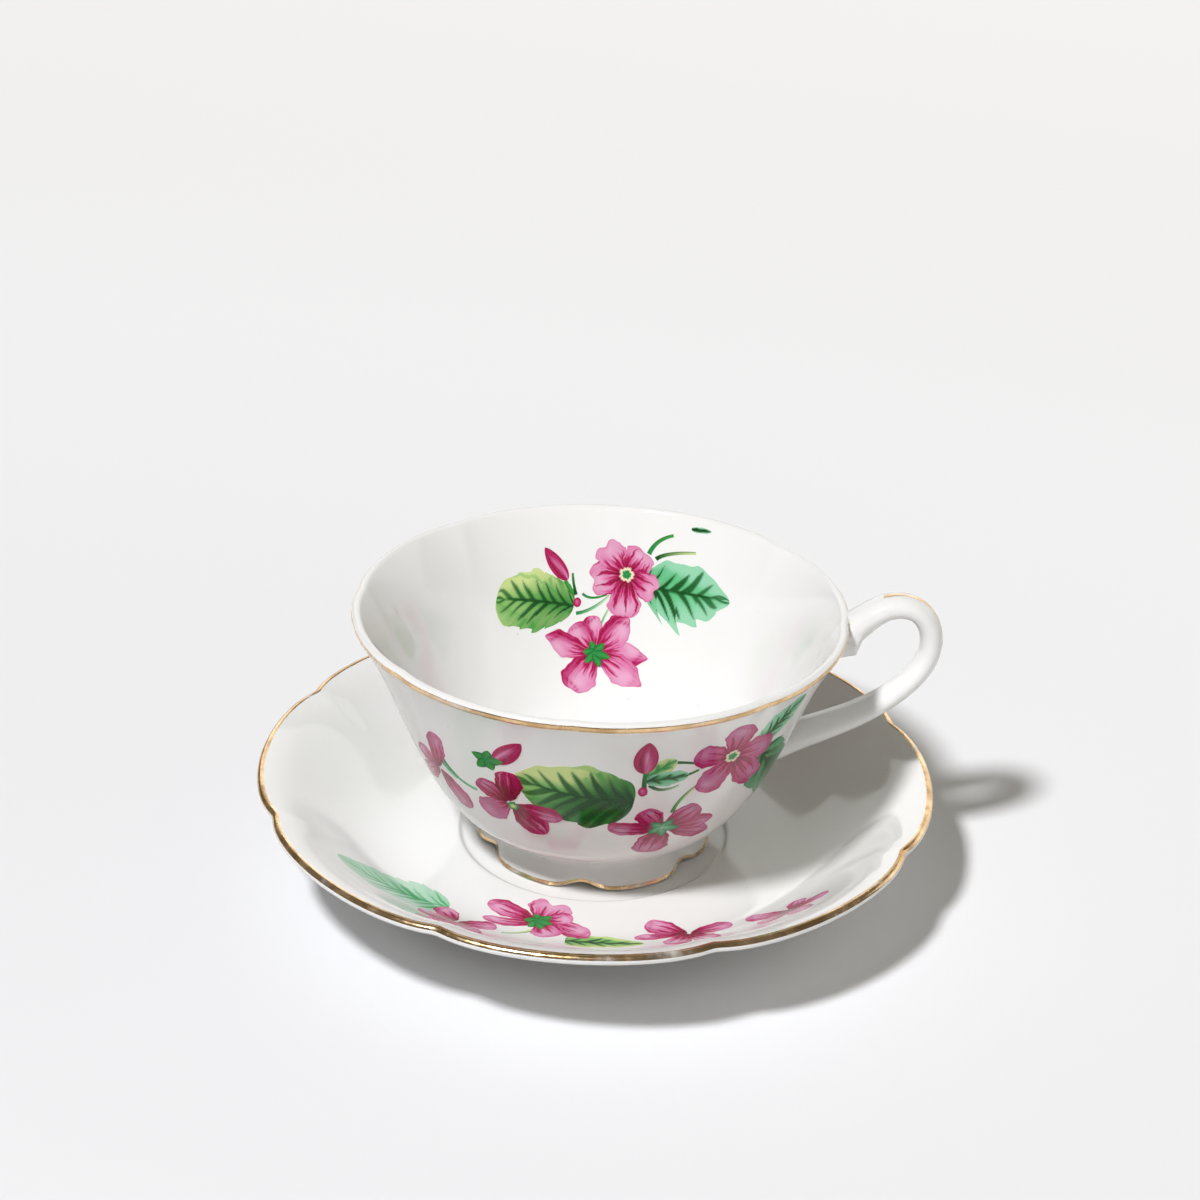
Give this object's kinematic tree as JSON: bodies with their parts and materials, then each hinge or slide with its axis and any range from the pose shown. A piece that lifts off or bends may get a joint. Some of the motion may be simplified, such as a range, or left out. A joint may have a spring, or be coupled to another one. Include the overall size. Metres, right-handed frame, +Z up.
{
  "type": "teacup and saucer",
  "caption": "Footed porcelain teacup with a strap handle on a matching scalloped saucer, with gold edge lines and printed flower sprays.",
  "frame": {"origin": "centre of the saucer's foot ring, on the plane it stands on", "axes": "+Z up along the common axis of saucer and cup, +X from that axis towards the cup's handle"},
  "size_m": [0.1406, 0.1406, 0.0648],
  "materials": {
    "porcelain": "gloss",
    "gilding": "satin",
    "rose_print": "gloss",
    "leaf_print": "gloss"
  },
  "bodies": {
    "saucer": {"saucer_dish": "porcelain", "saucer_rim_gilding": "gilding"},
    "cup": {"cup_bowl": "porcelain", "cup_foot": "porcelain", "cup_handle": "porcelain", "cup_rim_gilding": "gilding", "cup_foot_gilding": "gilding", "cup_handle_gilding": "gilding"}
  },
  "joints": [
    {"name": "cup_lift", "type": "slide", "parent": "saucer", "child": "cup", "axis": [0, 0, 1], "range_m": [0, 0.08]}
  ]
}
